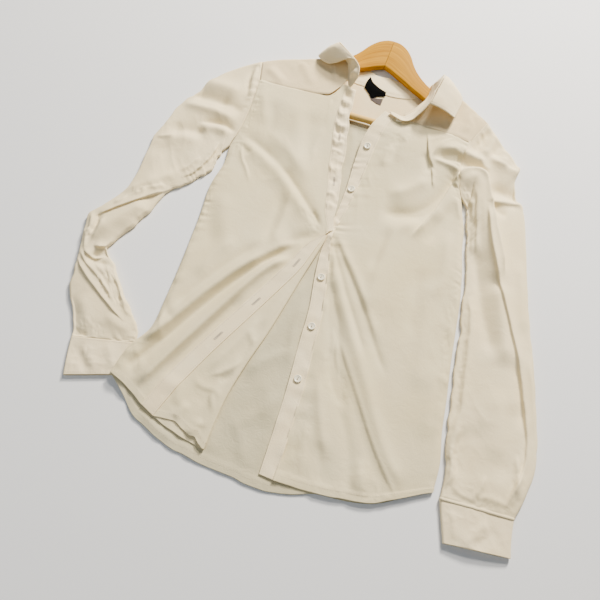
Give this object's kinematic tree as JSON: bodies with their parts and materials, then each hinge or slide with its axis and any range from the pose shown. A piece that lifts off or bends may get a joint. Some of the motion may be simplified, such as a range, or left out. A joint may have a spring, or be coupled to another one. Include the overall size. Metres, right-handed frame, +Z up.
{
  "type": "crumpled blouse on hanger",
  "caption": "Long-sleeved button-front blouse, creased and lying flat face up, open below its fastened button, with a contoured wooden hanger still inside.",
  "frame": {"origin": "middle of the underside of the bounding box, on the surface that the blouse lies on", "axes": "+Z up from the surface, +Y from the hem towards the collar, +X towards the wearer's left sleeve"},
  "size_m": [0.7134, 0.7666, 0.0505],
  "materials": {
    "cloth": "matte",
    "button": "gloss",
    "label": "matte",
    "care_label": "matte",
    "wood": "satin"
  },
  "bodies": {
    "root": {"back": "cloth", "yoke": "cloth", "right_front": "cloth", "left_front": "cloth", "right_placket": "cloth", "left_placket": "cloth", "collar_stand": "cloth", "collar_leaf": "cloth", "right_sleeve": "cloth", "left_sleeve": "cloth", "right_cuff": "cloth", "left_cuff": "cloth", "button_1": "button", "button_2": "button", "button_3": "button", "button_4": "button", "button_5": "button", "button_6": "button", "button_stand": "button", "label": "label", "care_label": "care_label", "hanger_right": "wood", "hanger_left": "wood", "hanger_bar": "wood"}
  },
  "joints": []
}
